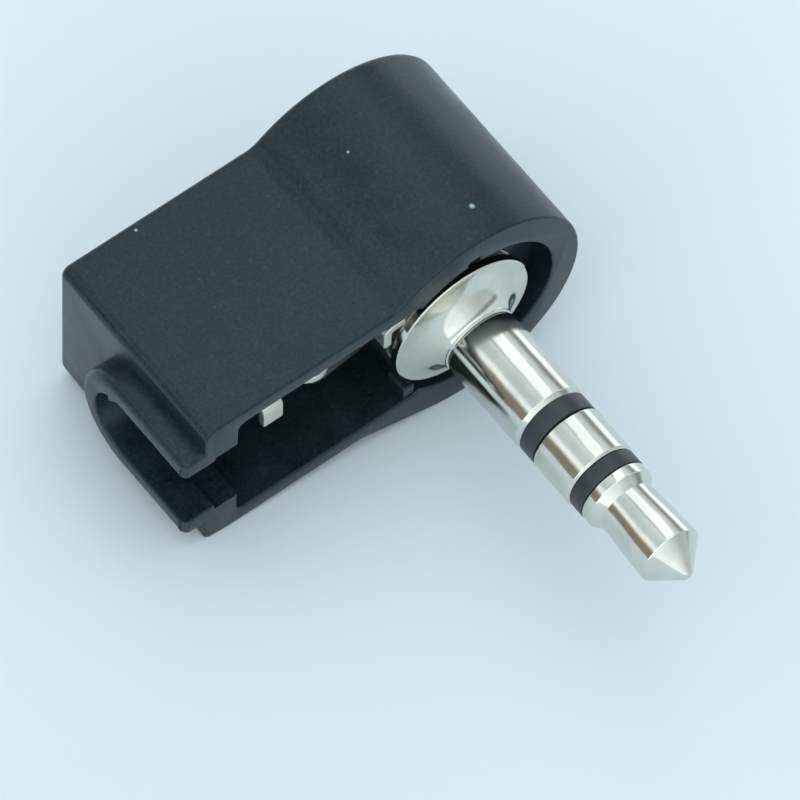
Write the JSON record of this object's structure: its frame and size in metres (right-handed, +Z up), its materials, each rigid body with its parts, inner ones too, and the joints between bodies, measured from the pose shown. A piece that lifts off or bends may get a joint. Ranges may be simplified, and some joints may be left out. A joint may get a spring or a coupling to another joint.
{
  "type": "stereo jack plug",
  "caption": "Right-angle stereo jack plug with its cover off: moulded shell, nickel-plated sleeve, ring and tip contacts, ground strap and cable exit.",
  "frame": {"origin": "middle of the lying plug's box, on the surface it rests on", "axes": "+Y along the pin from the shell to the tip, +X towards the cable end, +Z up; the plug lies on the round of its head and the end of its neck, so the neck slopes 6.8 degrees down towards +X"},
  "size_m": [0.021, 0.0254, 0.0116],
  "materials": {
    "shell_plastic": "matt, fine grain",
    "nickel_plate": "bright nickel plate over brass",
    "tinned_plate": "tinned brass sheet",
    "insulation": "smooth",
    "washer_fibre": "matt"
  },
  "bodies": {
    "root": {"housing_shell": "shell_plastic", "sleeve_contact": "nickel_plate", "outer_insulator": "insulation", "ring_contact": "nickel_plate", "inner_insulator": "insulation", "tip_contact": "nickel_plate", "ground_strap": "tinned_plate", "front_washer": "washer_fibre", "ring_solder_tag": "tinned_plate", "rear_washer": "washer_fibre", "tip_solder_tag": "tinned_plate"}
  },
  "joints": []
}
